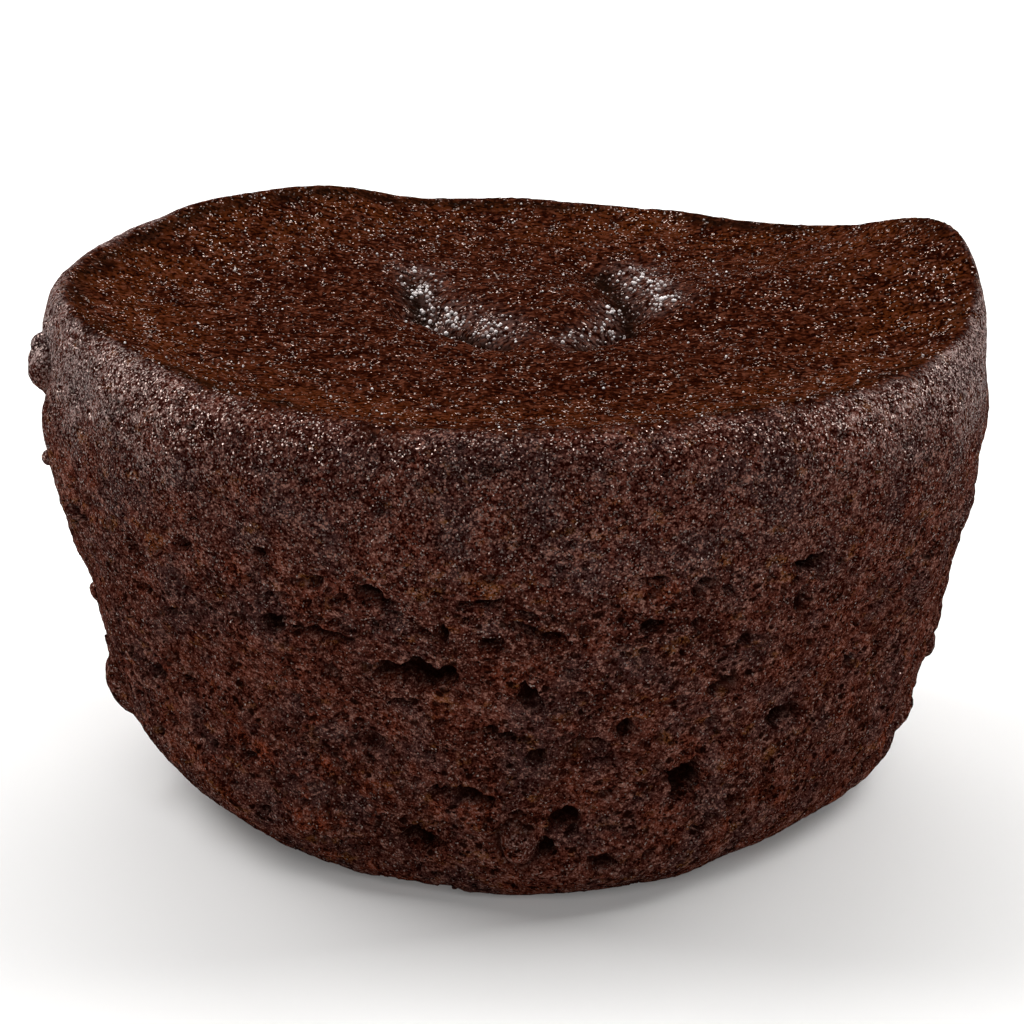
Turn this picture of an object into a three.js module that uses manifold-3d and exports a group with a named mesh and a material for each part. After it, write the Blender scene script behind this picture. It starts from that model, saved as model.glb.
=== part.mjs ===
// A small round chocolate brownie, about 46 mm across, baked in a deep round cup and turned out.
// It is one solid: a tapered wall of open crumb, a rolled shoulder with two humps, a sunken crust.
// Millimetres, +Z up. The origin is on the ground, under the middle of the box round the part.
// The side that shows best faces -Y. Azimuths are degrees from +X, counter-clockwise from above.

import * as THREE from "three";
import { mergeVertices } from "three/addons/utils/BufferGeometryUtils.js";
import Module from "manifold-3d";

const { clamp, degToRad, lerp, radToDeg, smoothstep } = THREE.MathUtils;

// Driving dimensions
const bandRadius = 22.8; // the upright upper band of the wall
const crestHeight = 23.7; // the rim's crest, before its humps
const footRadius = 18.4; // where the straight wall would meet the ground
const taper = degToRad(16.8); // the wall's lean from upright
const footFillet = 2.4; // the rounded edge at the ground
const shoulderIn = 2.6; // how far the shoulder rolls in from the band to the crest
const shoulderDown = 3.2; // and how far it falls
const bendSoftness = 0.7; // how gently the tapered wall turns into the band
const waist = { height: 9.5, spread: 4.0, depth: 0.35 };
const crustFloor = 22.8; // the sunken top crust, in the middle
const dishReach = 6.5; // how far in from the crest the crust stops sinking
const middle = { x: 0, y: 0.12 }; // the box's middle, from the foot's

// Lobes: each adds "by" millimetres round an azimuth, fading over "spread" degrees
const crestLobes = [
  { at: 132, spread: 34, by: 1.9 },
  { at: 14, spread: 20, by: 2.5 },
  { at: 190, spread: 34, by: 1.0 },
  { at: 270, spread: 60, by: -0.5 },
  { at: 325, spread: 25, by: -0.3 },
  { at: 105, spread: 10, by: -0.35 },
  { at: 80, spread: 10, by: 0.15 },
];
const bandLobes = [
  { at: 185, spread: 40, by: -0.15 },
  { at: 210, spread: 18, by: -0.7 },
];
const footLobes = [
  { at: 187, spread: 25, by: -0.3 },
  { at: 228, spread: 28, by: -1.0 },
  { at: 250, spread: 15, by: -0.5 },
  { at: 282, spread: 12, by: 0.4 },
  { at: 318, spread: 20, by: -0.9 },
];
const filletLobes = [
  { at: 190, spread: 40, by: 3.2 },
  { at: 330, spread: 30, by: 1.0 },
];
const shoulderLobes = [
  { at: 5, spread: 40, by: -1.9 },
  { at: 192, spread: 32, by: -1.3 },
  { at: 270, spread: 70, by: -0.5 },
];

// The crust: mounds and a pit, where the rise is negative, and the creases where it sank
const mounds = [
  { x: 1.6, y: 3.9, spread: 3.4, rise: 0.55 },
  { x: 10.5, y: 4.8, spread: 3.0, rise: 0.25 },
  { x: 6.0, y: 1.4, spread: 1.2, rise: -0.3 },
];
const creases = [
  { from: [-5.1, 7.4], to: [-4.2, 1.8], spread: 1.1, depth: 0.6 },
  { from: [-4.2, 1.8], to: [-0.8, -3.0], spread: 1.2, depth: 0.8 },
  { from: [3.0, -4.2], to: [5.4, -0.5], spread: 1.1, depth: 0.6 },
  { from: [5.4, -0.5], to: [5.8, 4.0], spread: 1.2, depth: 0.6 },
  { from: [5.8, 4.0], to: [4.6, 10.5], spread: 1.3, depth: 0.7 },
];

// Crags: waves of these lengths, summed, as deep as this on the wall and on the crust
const cragWaves = [
  { length: 9.0, share: 0.6 },
  { length: 4.2, share: 0.5 },
];
const wallCrag = 0.2;
const crustCrag = 0.09;
const wavesInSum = 9;
const goldenAngle = Math.PI * (3 - Math.sqrt(5));

// Crumbs and lumps that stand proud of the wall: azimuth, height, radius, and how far they stand out
const lumps = [
  { azimuth: 187, height: 21.1, radius: 1.4, proud: 0.65 },
  { azimuth: 186, height: 22.0, radius: 0.7, proud: 0.45 },
  { azimuth: 188, height: 16.7, radius: 0.5, proud: 0.4 },
  { azimuth: 189, height: 10.0, radius: 0.55, proud: 0.3 },
  { azimuth: 189, height: 5.3, radius: 2.3, proud: 0.6 },
  { azimuth: 271, height: 3.6, radius: 1.0, proud: 0.6 },
  { azimuth: 350, height: 7.4, radius: 0.9, proud: 0.3 },
  { azimuth: 350, height: 3.9, radius: 1.2, proud: 0.35 },
];

// The pores and cracks that show most: azimuth and height of the middle, then width, height and depth
const openPores = [
  { azimuth: 188, height: 7.8, wide: 1.9, tall: 0.9, deep: 0.8 },
  { azimuth: 217, height: 15.3, wide: 1.0, tall: 0.8, deep: 0.7 },
  { azimuth: 228, height: 16.6, wide: 0.9, tall: 0.7, deep: 0.6 },
  { azimuth: 241, height: 13.7, wide: 1.5, tall: 1.0, deep: 1.0 },
  { azimuth: 247, height: 13.6, wide: 2.6, tall: 0.8, deep: 0.9 },
  { azimuth: 246, height: 16.1, wide: 1.7, tall: 0.6, deep: 0.6 },
  { azimuth: 255, height: 12.0, wide: 3.2, tall: 1.1, deep: 1.0 },
  { azimuth: 260, height: 12.2, wide: 2.9, tall: 1.3, deep: 1.3 },
  { azimuth: 262, height: 14.4, wide: 0.8, tall: 1.2, deep: 0.8 },
  { azimuth: 267, height: 16.0, wide: 1.9, tall: 0.6, deep: 0.8 },
  { azimuth: 268, height: 22.0, wide: 0.6, tall: 0.5, deep: 0.4 },
  { azimuth: 268, height: 14.0, wide: 1.0, tall: 0.8, deep: 0.7 },
  { azimuth: 274, height: 14.4, wide: 1.5, tall: 0.6, deep: 0.7 },
  { azimuth: 272, height: 11.4, wide: 1.0, tall: 0.9, deep: 0.8 },
  { azimuth: 256, height: 10.5, wide: 1.5, tall: 0.6, deep: 0.6 },
  { azimuth: 284, height: 9.3, wide: 1.1, tall: 1.0, deep: 1.0 },
  { azimuth: 273, height: 8.0, wide: 1.0, tall: 1.0, deep: 0.8 },
  { azimuth: 278, height: 8.6, wide: 0.9, tall: 0.8, deep: 0.7 },
  { azimuth: 286, height: 16.6, wide: 1.4, tall: 0.5, deep: 0.6 },
  { azimuth: 286, height: 14.6, wide: 1.1, tall: 0.7, deep: 0.8 },
  { azimuth: 291, height: 14.4, wide: 0.9, tall: 0.8, deep: 0.7 },
  { azimuth: 292, height: 16.5, wide: 1.3, tall: 0.6, deep: 0.7 },
  { azimuth: 299, height: 13.1, wide: 1.2, tall: 0.9, deep: 0.9 },
  { azimuth: 306, height: 14.1, wide: 0.7, tall: 1.9, deep: 0.9 },
  { azimuth: 309, height: 8.3, wide: 2.9, tall: 0.8, deep: 0.8 },
  { azimuth: 312, height: 6.2, wide: 0.9, tall: 0.9, deep: 0.8 },
  { azimuth: 293, height: 6.5, wide: 2.4, tall: 1.9, deep: 1.5 },
  { azimuth: 301, height: 4.6, wide: 1.1, tall: 0.6, deep: 0.7 },
  { azimuth: 297, height: 3.5, wide: 0.9, tall: 0.7, deep: 0.6 },
  { azimuth: 286, height: 4.2, wide: 0.9, tall: 0.5, deep: 0.6 },
  { azimuth: 264, height: 5.9, wide: 3.4, tall: 0.9, deep: 1.0 },
  { azimuth: 257, height: 3.2, wide: 2.4, tall: 0.8, deep: 0.9 },
  { azimuth: 274, height: 3.4, wide: 0.7, tall: 1.5, deep: 1.1 },
  { azimuth: 277, height: 4.8, wide: 1.6, tall: 1.4, deep: 1.2 },
  { azimuth: 251, height: 8.1, wide: 2.4, tall: 1.3, deep: 0.5 },
];

// The lesser pores are spread evenly over the open crumb by a low-discrepancy rule
const scattered = {
  count: 78,
  lowest: 1.8,
  highest: 16.8,
  wide: [0.8, 1.7],
  tall: [0.5, 0.9],
  deep: [0.5, 0.9],
  clear: 1.8, // from the middle of any pore that is named above
};
const spreadStep = { azimuth: 0.7548776662, height: 0.5698402910, size: 0.6180339887 };

// The mesh that is bent to the form: segments across the crust and up the wall
const acrossSegments = 26;
const upSegments = 16;

// The wall's rows, as shares of the way up: the foot's fillet, the wall, the shoulder
const filletShare = 0.14;
const shoulderShare = 0.86;

const sumLobes = (azimuth, lobes) =>
  lobes.reduce((sum, { at, spread, by }) => {
    const apart = THREE.MathUtils.euclideanModulo(azimuth - at + 180, 360) - 180;
    return sum + by * Math.exp(-((apart / spread) ** 2));
  }, 0);

const crestAt = (azimuth) => crestHeight + sumLobes(azimuth, crestLobes);

// The wall's radius and height, for an azimuth and a share of the way from the foot to the crest
function wallAt(azimuth, share) {
  const fillet = footFillet + sumLobes(azimuth, filletLobes);
  const rollIn = shoulderIn + sumLobes(azimuth, shoulderLobes);
  const shoulderBase = crestAt(azimuth) - shoulderDown;
  const footTurn = (clamp(share / filletShare, 0, 1) * Math.PI) / 2;
  const shoulderTurn = (clamp((share - shoulderShare) / (1 - shoulderShare), 0, 1) * Math.PI) / 2;
  const up = clamp((share - filletShare) / (shoulderShare - filletShare), 0, 1);
  const z =
    share < filletShare
      ? fillet * (1 - Math.cos(footTurn))
      : lerp(fillet, shoulderBase, up) + shoulderDown * Math.sin(shoulderTurn);
  const wallZ = Math.min(z, shoulderBase);
  const leaning = footRadius + sumLobes(azimuth, footLobes) + Math.tan(taper) * wallZ;
  const past = (leaning - bandRadius - sumLobes(azimuth, bandLobes)) / bendSoftness;
  const radius =
    leaning -
    bendSoftness * Math.log1p(Math.exp(past)) -
    waist.depth * Math.exp(-(((wallZ - waist.height) / waist.spread) ** 2)) -
    fillet * (1 - Math.sin(footTurn)) -
    rollIn * (1 - Math.cos(shoulderTurn));
  return { radius, z };
}

// How far a point is from the straight line between two others, in plan
function distanceToLine(x, y, [fromX, fromY], [toX, toY]) {
  const runX = toX - fromX;
  const runY = toY - fromY;
  const along = ((x - fromX) * runX + (y - fromY) * runY) / (runX * runX + runY * runY);
  const nearest = clamp(along, 0, 1);
  return Math.hypot(x - fromX - nearest * runX, y - fromY - nearest * runY);
}

// The crust's height: a shallow dish that follows the rim's humps and fades to level in the middle
function crustAt(azimuth, share) {
  const crest = wallAt(azimuth, 1);
  const radius = crest.radius * share;
  const x = radius * Math.cos(degToRad(azimuth));
  const y = radius * Math.sin(degToRad(azimuth));
  const hump = sumLobes(azimuth, crestLobes);
  const fallen = clamp((crest.radius - radius) / dishReach, 0, 1);
  let z = lerp(crustFloor, crest.z - hump, (1 - fallen) ** 2) + hump * share ** 2;
  for (const mound of mounds) {
    const apart = Math.hypot(x - mound.x, y - mound.y);
    z += mound.rise * Math.exp(-((apart / mound.spread) ** 2));
  }
  for (const crease of creases) {
    const apart = distanceToLine(x, y, crease.from, crease.to);
    z -= crease.depth * Math.exp(-((apart / crease.spread) ** 2));
  }
  return { radius, z };
}

// Uneven relief without a repeat: waves that cross a point from evenly spread directions
function cragAt(x, y, z) {
  let relief = 0;
  for (const { length, share } of cragWaves) {
    for (let wave = 0; wave < wavesInSum; wave += 1) {
      const rise = (2 * wave + 1) / wavesInSum - 1;
      const level = Math.sqrt(1 - rise * rise);
      const turn = goldenAngle * (wave + length);
      const along = level * (x * Math.cos(turn) + y * Math.sin(turn)) + rise * z;
      relief += (share * Math.sin((2 * Math.PI * along) / length + 5 * turn)) / Math.sqrt(wavesInSum);
    }
  }
  return relief;
}

// A square's point as an azimuth and a share of the way out, so that the square becomes a disc
function squareToDisc(x, y) {
  const across = x * Math.sqrt(1 - y ** 2 / 2);
  const along = y * Math.sqrt(1 - x ** 2 / 2);
  return { azimuth: radToDeg(Math.atan2(along, across)), share: Math.hypot(across, along) };
}

// Bends a box of side 2 to the form: its floor, its four walls and its lid become foot, wall and crust
function bendToForm(geometry) {
  const position = geometry.getAttribute("position");
  const corner = new THREE.Vector3();
  for (let i = 0; i < position.count; i += 1) {
    corner.fromBufferAttribute(position, i);
    const { azimuth, share } = squareToDisc(corner.x, corner.y);
    const outward = new THREE.Vector2(Math.cos(degToRad(azimuth)), Math.sin(degToRad(azimuth)));
    const onCrust = corner.z > 0.999 && share < 0.999;
    const onFoot = corner.z < -0.999;
    const place = onCrust ? crustAt(azimuth, share) : wallAt(azimuth, (corner.z + 1) / 2);
    const radius = onFoot ? place.radius * share : place.radius;
    const crag = cragAt(radius * outward.x, radius * outward.y, place.z);
    const proud = onCrust || onFoot ? 0 : wallCrag * crag * (1 - smoothstep(corner.z, 0.7, 1));
    const raised = onFoot ? 0 : crustCrag * crag * smoothstep(corner.z, 0.7, 1);
    outward.multiplyScalar(radius + proud);
    position.setXYZ(i, outward.x, outward.y, place.z + raised);
  }
  return geometry;
}

const wasm = await Module();
wasm.setup();

function toSolid(geometry) {
  geometry.deleteAttribute("normal");
  geometry.deleteAttribute("uv");
  const merged = mergeVertices(geometry, 1e-4);
  return new wasm.Manifold(
    new wasm.Mesh({
      numProp: 3,
      vertProperties: merged.getAttribute("position").array,
      triVerts: new Uint32Array(merged.index.array),
    }),
  );
}

function toGeometry(solid) {
  const { vertProperties, triVerts } = solid.getMesh();
  const geometry = new THREE.BufferGeometry();
  geometry.setAttribute("position", new THREE.BufferAttribute(vertProperties, 3));
  geometry.setIndex(new THREE.BufferAttribute(triVerts, 1));
  geometry.computeVertexNormals();
  return geometry;
}

// The wall's radius at a height, found by halving the share of the way up
function wallRadiusAt(azimuth, height) {
  let low = 0;
  let high = 1;
  while (high - low > 1e-4) {
    const share = (low + high) / 2;
    if (wallAt(azimuth, share).z < height) {
      low = share;
    } else {
      high = share;
    }
  }
  return wallAt(azimuth, low).radius;
}

// A faceted ball, stretched to its depth, width and height and set into the wall
function ballInWall({ azimuth, height, wide, tall, deep }, inset, detail) {
  const ball = new THREE.IcosahedronGeometry(1, detail);
  ball.rotateX(degToRad(azimuth * 7));
  ball.scale(deep, wide / 2, tall / 2);
  ball.translate(wallRadiusAt(azimuth, height) - inset, 0, 0);
  ball.rotateZ(degToRad(azimuth));
  ball.translate(0, 0, height);
  return toSolid(ball);
}

// The lesser pores: every place comes from its number, and those too near a named pore are skipped
function scatteredPores() {
  const pores = [];
  for (let number = 1; number <= scattered.count; number += 1) {
    const azimuth = 360 * ((number * spreadStep.azimuth) % 1);
    const height = lerp(scattered.lowest, scattered.highest, (number * spreadStep.height) % 1);
    const size = (number * spreadStep.size) % 1;
    const near = openPores.some((pore) => {
      const aside = degToRad(azimuth - pore.azimuth) * bandRadius;
      return Math.hypot(aside, height - pore.height) < scattered.clear;
    });
    if (!near) {
      pores.push({
        azimuth,
        height,
        wide: lerp(...scattered.wide, size),
        tall: lerp(...scattered.tall, size),
        deep: lerp(...scattered.deep, size),
      });
    }
  }
  return pores;
}

function makeBrownie() {
  let solid = toSolid(bendToForm(new THREE.BoxGeometry(2, 2, 2, acrossSegments, acrossSegments, upSegments)));
  for (const { azimuth, height, radius, proud } of lumps) {
    const size = { azimuth, height, wide: 2 * radius, tall: 2 * radius, deep: radius };
    solid = solid.add(ballInWall(size, radius - proud, 1));
  }
  for (const pore of [...openPores, ...scatteredPores()]) {
    solid = solid.subtract(ballInWall(pore, 0, pore.wide > 2 ? 1 : 0));
  }
  const geometry = toGeometry(solid);
  geometry.translate(-middle.x, -middle.y, 0);
  return geometry;
}

const crumb = new THREE.MeshStandardMaterial({ color: 0x452419, roughness: 0.75, metalness: 0 });
const brownie = new THREE.Mesh(makeBrownie(), crumb);
brownie.name = "brownie";

const part = new THREE.Group();
part.add(brownie);

export default part;
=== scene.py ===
"""A small round chocolate brownie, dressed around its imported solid.

The brownie's form is worked out from the same named sizes as its solid, then carved much finer:
pores, crags, torn crumb and a pebbled crust are all in the mesh, and the materials add the grain.
Sizes in the classes are millimetres and azimuths are degrees from +X, counter-clockwise from above.
Meshes are handed over in metres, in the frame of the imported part.
"""

import logging
import math
from dataclasses import dataclass
from enum import Enum
from typing import Any, Mapping, Sequence, Union

import bmesh
import bpy
import numpy as np
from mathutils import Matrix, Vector

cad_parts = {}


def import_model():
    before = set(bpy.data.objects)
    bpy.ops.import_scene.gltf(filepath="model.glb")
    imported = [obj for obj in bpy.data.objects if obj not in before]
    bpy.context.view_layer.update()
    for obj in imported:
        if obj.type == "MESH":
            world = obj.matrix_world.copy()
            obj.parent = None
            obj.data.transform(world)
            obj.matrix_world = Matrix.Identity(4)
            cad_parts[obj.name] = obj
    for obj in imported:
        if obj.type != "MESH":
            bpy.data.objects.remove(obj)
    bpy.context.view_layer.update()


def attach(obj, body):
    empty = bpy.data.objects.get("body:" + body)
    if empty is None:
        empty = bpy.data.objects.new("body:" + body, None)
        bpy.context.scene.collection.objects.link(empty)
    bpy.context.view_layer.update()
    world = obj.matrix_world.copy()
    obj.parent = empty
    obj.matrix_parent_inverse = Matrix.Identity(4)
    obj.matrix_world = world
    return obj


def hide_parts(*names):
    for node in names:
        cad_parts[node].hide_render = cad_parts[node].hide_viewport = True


LOG = logging.getLogger("brownie")
BODY = "root"
NODE = "brownie"
METRES = 0.001
PORE_STEEPNESS = 0.5
HALF = (0.5, 0.5, 0.5)
Colour = tuple[float, float, float, float]
Number = Union[int, float]
Triple = tuple[float, float, float]
Array = np.ndarray
Socket = bpy.types.NodeSocket


def srgb(red: int, green: int, blue: int) -> Colour:
    """Turns a colour as a screen shows it into the linear one that a shader takes.

    Args:
        red: The red channel, 0 to 255.
        green: The green channel, 0 to 255.
        blue: The blue channel, 0 to 255.

    Returns:
        The linear colour, with full alpha.
    """
    linear = []
    for channel in (red, green, blue):
        share = channel / 255
        linear.append(share / 12.92 if share <= 0.04045 else ((share + 0.055) / 1.055) ** 2.4)
    return (linear[0], linear[1], linear[2], 1.0)


def smoothstep(low: float, high: float, values: Array) -> Array:
    """Rises smoothly from 0 at one value to 1 at another, which may be the lower of the two."""
    share = np.clip((values - low) / (high - low), 0.0, 1.0)
    return share * share * (3.0 - 2.0 * share)


def turned_apart(azimuth: Array, centre: float) -> Array:
    """Gives how many degrees each azimuth is from a centre, the short way round."""
    return (azimuth - centre + 180.0) % 360.0 - 180.0


def bell(apart: Array, spread: float, power: float = 2) -> Array:
    """Falls smoothly from 1 at no distance towards 0 beyond a spread."""
    return np.exp(-((apart / spread) ** power))


class Hash:
    """Repeatable random numbers from whole-number places, so nothing depends on a draw's order."""

    FACTORS = (np.uint32(73856093), np.uint32(19349663), np.uint32(83492791))
    SEED_FACTOR = 2654435761
    MIXER = np.uint32(1274126177)
    SHIFTS = (np.uint32(13), np.uint32(16), np.uint32(15))
    WORD = 0xFFFFFFFF
    RANGE = 0xFFFFFF

    @classmethod
    def unit(cls, cells: Sequence[Array], seed: int) -> Array:
        """Draws a number from 0 to 1 for each cell.

        Args:
            cells: One array of whole numbers for each axis, three at most.
            seed: Which of the many series to draw from.

        Returns:
            The numbers, in the shape of the cells.
        """
        mixed = np.full(cells[0].shape, (seed * cls.SEED_FACTOR) & cls.WORD, np.uint32)
        for cell, factor in zip(cells, cls.FACTORS):
            mixed ^= cell.astype(np.int64).astype(np.uint32) * factor
        mixed = (mixed ^ (mixed >> cls.SHIFTS[0])) * cls.MIXER
        mixed ^= mixed >> cls.SHIFTS[1]
        mixed = mixed * cls.FACTORS[0]
        mixed ^= mixed >> cls.SHIFTS[2]
        return (mixed & np.uint32(cls.RANGE)).astype(np.float64) / cls.RANGE


def noise(points: Array, length: Union[Number, Sequence[Number]], seed: int) -> Array:
    """Smooth random relief in space.

    Args:
        points: The places, one row each.
        length: The size of its swells, or one size for each axis.
        seed: Which relief to draw.

    Returns:
        The relief at each place, from -1 to 1.
    """
    scaled = points / np.asarray(length, float)
    base = np.floor(scaled)
    part = scaled - base
    blend = part * part * part * (part * (part * 6.0 - 15.0) + 10.0)
    total = np.zeros(len(points))
    for corner in np.ndindex(2, 2, 2):
        cells = [base[:, axis] + corner[axis] for axis in range(3)]
        weight = np.ones(len(points))
        for axis in range(3):
            weight *= blend[:, axis] if corner[axis] else 1.0 - blend[:, axis]
        total += weight * Hash.unit(cells, seed)
    return 2.0 * total - 1.0


@dataclass(frozen=True)
class Swell:
    """One layer of that relief: the size of its swells, how far it reaches and which one to draw."""

    length: Union[float, Triple]
    reach: float
    seed: int

    def at(self, points: Array) -> Array:
        """Gives the layer's relief at each place."""
        return self.reach * noise(points, self.length, self.seed)


def pebbles(points: Array, length: float, seed: int) -> Array:
    """Rounded grains packed side by side.

    Args:
        points: The places, one row each.
        length: The size of a grain.
        seed: Which packing to draw.

    Returns:
        The relief at each place, from 0 between grains to 1 on a grain's top.
    """
    scaled = points / length
    base = np.floor(scaled)
    nearest = np.full(len(points), np.inf)
    for step in np.ndindex(3, 3, 3):
        cells = [base[:, axis] + step[axis] - 1 for axis in range(3)]
        apart = np.zeros(len(points))
        for axis in range(3):
            centre = cells[axis] + Hash.unit(cells, seed + 31 * axis)
            apart += (scaled[:, axis] - centre) ** 2
        np.minimum(nearest, apart, out=nearest)
    return np.sqrt(np.clip(1.0 - nearest, 0.0, 1.0))


@dataclass(frozen=True)
class Lobe:
    """A swelling or a dent that fades to both sides of an azimuth."""

    at: float
    spread: float
    by: float


def sum_lobes(azimuth: Array, lobes: Sequence[Lobe]) -> Array:
    """Adds up lobes.

    Args:
        azimuth: Where to look.
        lobes: The lobes to add.

    Returns:
        Their sum at each azimuth.
    """
    total = np.zeros_like(azimuth)
    for lobe in lobes:
        total += lobe.by * bell(turned_apart(azimuth, lobe.at), lobe.spread)
    return total


@dataclass(frozen=True)
class Mound:
    """A round rise on the crust, or a pit where the rise is negative."""

    x: float
    y: float
    spread: float
    rise: float


@dataclass(frozen=True)
class Crease:
    """A straight stretch of a crease where the crust sank."""

    start: tuple[float, float]
    end: tuple[float, float]
    spread: float
    depth: float

    def distance(self, x: Array, y: Array) -> Array:
        """Gives how far places are from the crease, in plan.

        Args:
            x: The places' x.
            y: The places' y.

        Returns:
            The distances.
        """
        run_x = self.end[0] - self.start[0]
        run_y = self.end[1] - self.start[1]
        along = ((x - self.start[0]) * run_x + (y - self.start[1]) * run_y) / (run_x**2 + run_y**2)
        nearest = np.clip(along, 0.0, 1.0)
        return np.hypot(x - self.start[0] - nearest * run_x, y - self.start[1] - nearest * run_y)


@dataclass(frozen=True)
class Lump:
    """A crumb or swelling that stands proud of the wall."""

    azimuth: float
    height: float
    radius: float
    proud: float


@dataclass(frozen=True)
class Pore:
    """An open pore or crack in the wall."""

    azimuth: float
    height: float
    wide: float
    tall: float
    deep: float


@dataclass(frozen=True)
class TornPatch:
    """A stretch of the wall's foot where the crumb is torn and rusty."""

    azimuth: float
    spread: float
    top: float
    strength: float


@dataclass(frozen=True)
class CragWave:
    """One size of the big uneven swells."""

    length: float
    share: float


@dataclass
class BrownieForm:
    """The brownie's main form: foot, tapered wall, upright band, rolled shoulder and sunken crust."""

    band_radius: float = 22.8
    crest_height: float = 23.7
    foot_radius: float = 18.4
    taper: float = math.radians(16.8)
    foot_fillet: float = 2.4
    shoulder_in: float = 2.6
    shoulder_down: float = 3.2
    bend_softness: float = 0.7
    waist_height: float = 9.5
    waist_spread: float = 4.0
    waist_depth: float = 0.35
    crust_floor: float = 22.8
    dish_reach: float = 6.5
    fillet_share: float = 0.14
    shoulder_share: float = 0.86
    wall_crag: float = 0.2
    crust_crag: float = 0.09
    waves_in_sum: int = 9
    crease_power: float = 1.3
    crease_sharpening: float = 1.4
    crease_edge: Swell = Swell(1.3, 0.35, 109)
    middle: tuple[float, float] = (0.0, 0.12)
    crest_lobes: tuple[Lobe, ...] = (
        Lobe(132, 34, 1.9),
        Lobe(14, 20, 2.5),
        Lobe(190, 34, 1.0),
        Lobe(270, 60, -0.5),
        Lobe(325, 25, -0.3),
        Lobe(105, 10, -0.35),
        Lobe(80, 10, 0.15),
    )
    band_lobes: tuple[Lobe, ...] = (Lobe(185, 40, -0.15), Lobe(210, 18, -0.7))
    foot_lobes: tuple[Lobe, ...] = (
        Lobe(187, 25, -0.3),
        Lobe(228, 28, -1.0),
        Lobe(250, 15, -0.5),
        Lobe(282, 12, 0.4),
        Lobe(318, 20, -0.9),
    )
    fillet_lobes: tuple[Lobe, ...] = (Lobe(190, 40, 3.2), Lobe(330, 30, 1.0))
    shoulder_lobes: tuple[Lobe, ...] = (Lobe(5, 40, -1.9), Lobe(192, 32, -1.3), Lobe(270, 70, -0.5))
    mounds: tuple[Mound, ...] = (
        Mound(1.6, 3.9, 3.4, 0.55),
        Mound(10.5, 4.8, 3.0, 0.25),
        Mound(6.0, 1.4, 1.2, -0.3),
    )
    creases: tuple[Crease, ...] = (
        Crease((-5.1, 7.4), (-4.2, 1.8), 1.1, 0.6),
        Crease((-4.2, 1.8), (-0.8, -3.0), 1.2, 0.8),
        Crease((3.0, -4.2), (5.4, -0.5), 1.1, 0.6),
        Crease((5.4, -0.5), (5.8, 4.0), 1.2, 0.6),
        Crease((5.8, 4.0), (4.6, 10.5), 1.3, 0.7),
    )
    crag_waves: tuple[CragWave, ...] = (CragWave(9.0, 0.6), CragWave(4.2, 0.5))

    def wall(self, azimuth: Array, share: Array) -> tuple[Array, Array]:
        """Works out the wall.

        Args:
            azimuth: Where round the brownie.
            share: How far up the wall, from 0 at the foot's flat to 1 at the crest.

        Returns:
            The radius and the height at each place.
        """
        fillet = self.foot_fillet + sum_lobes(azimuth, self.fillet_lobes)
        roll_in = self.shoulder_in + sum_lobes(azimuth, self.shoulder_lobes)
        crest = self.crest_height + sum_lobes(azimuth, self.crest_lobes)
        shoulder_base = crest - self.shoulder_down
        straight = self.shoulder_share - self.fillet_share
        foot_turn = np.clip(share / self.fillet_share, 0, 1) * math.pi / 2
        past_wall = (share - self.shoulder_share) / (1 - self.shoulder_share)
        shoulder_turn = np.clip(past_wall, 0, 1) * math.pi / 2
        up = np.clip((share - self.fillet_share) / straight, 0, 1)
        z = np.where(
            share < self.fillet_share,
            fillet * (1 - np.cos(foot_turn)),
            fillet + (shoulder_base - fillet) * up + self.shoulder_down * np.sin(shoulder_turn),
        )
        wall_z = np.minimum(z, shoulder_base)
        leaning = self.foot_radius + sum_lobes(azimuth, self.foot_lobes) + math.tan(self.taper) * wall_z
        past = (leaning - self.band_radius - sum_lobes(azimuth, self.band_lobes)) / self.bend_softness
        radius = leaning - self.bend_softness * np.logaddexp(0, past)
        radius -= self.waist_depth * bell(wall_z - self.waist_height, self.waist_spread)
        radius -= fillet * (1 - np.sin(foot_turn)) + roll_in * (1 - np.cos(shoulder_turn))
        return radius, z

    def crust(self, azimuth: Array, share: Array) -> tuple[Array, Array]:
        """Works out the sunken crust.

        Args:
            azimuth: Where round the brownie.
            share: How far out, from 0 in the middle to 1 at the crest.

        Returns:
            The radius and the height at each place.
        """
        crest_radius, crest_z = self.wall(azimuth, np.ones_like(azimuth))
        radius = crest_radius * share
        x = radius * np.cos(np.radians(azimuth))
        y = radius * np.sin(np.radians(azimuth))
        hump = sum_lobes(azimuth, self.crest_lobes)
        fallen = np.clip((crest_radius - radius) / self.dish_reach, 0, 1)
        z = self.crust_floor + (crest_z - hump - self.crust_floor) * (1 - fallen) ** 2 + hump * share**2
        for mound in self.mounds:
            z += mound.rise * bell(np.hypot(x - mound.x, y - mound.y), mound.spread)
        ragged = self.crease_edge.at(np.stack([x, y, np.zeros_like(x)], axis=1))
        for crease in self.creases:
            apart = np.abs(crease.distance(x, y) + ragged)
            z -= self.crease_sharpening * crease.depth * bell(apart, crease.spread, self.crease_power)
        return radius, z

    def crag(self, points: Array) -> Array:
        """Works out the big uneven swells, which the solid has too.

        Args:
            points: The places, one row each.

        Returns:
            The relief at each place, about -1 to 1.
        """
        golden_angle = math.pi * (3 - math.sqrt(5))
        relief = np.zeros(len(points))
        for size in self.crag_waves:
            for number in range(self.waves_in_sum):
                rise = (2 * number + 1) / self.waves_in_sum - 1
                level = math.sqrt(1 - rise * rise)
                turn = golden_angle * (number + size.length)
                along = points @ np.array([level * math.cos(turn), level * math.sin(turn), rise])
                swell = np.sin(2 * math.pi * along / size.length + 5 * turn)
                relief += size.share * swell / math.sqrt(self.waves_in_sum)
        return relief


class Skin(Enum):
    """The three faces of the brownie."""

    FOOT = "foot"
    WALL = "wall"
    CRUST = "crust"


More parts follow.
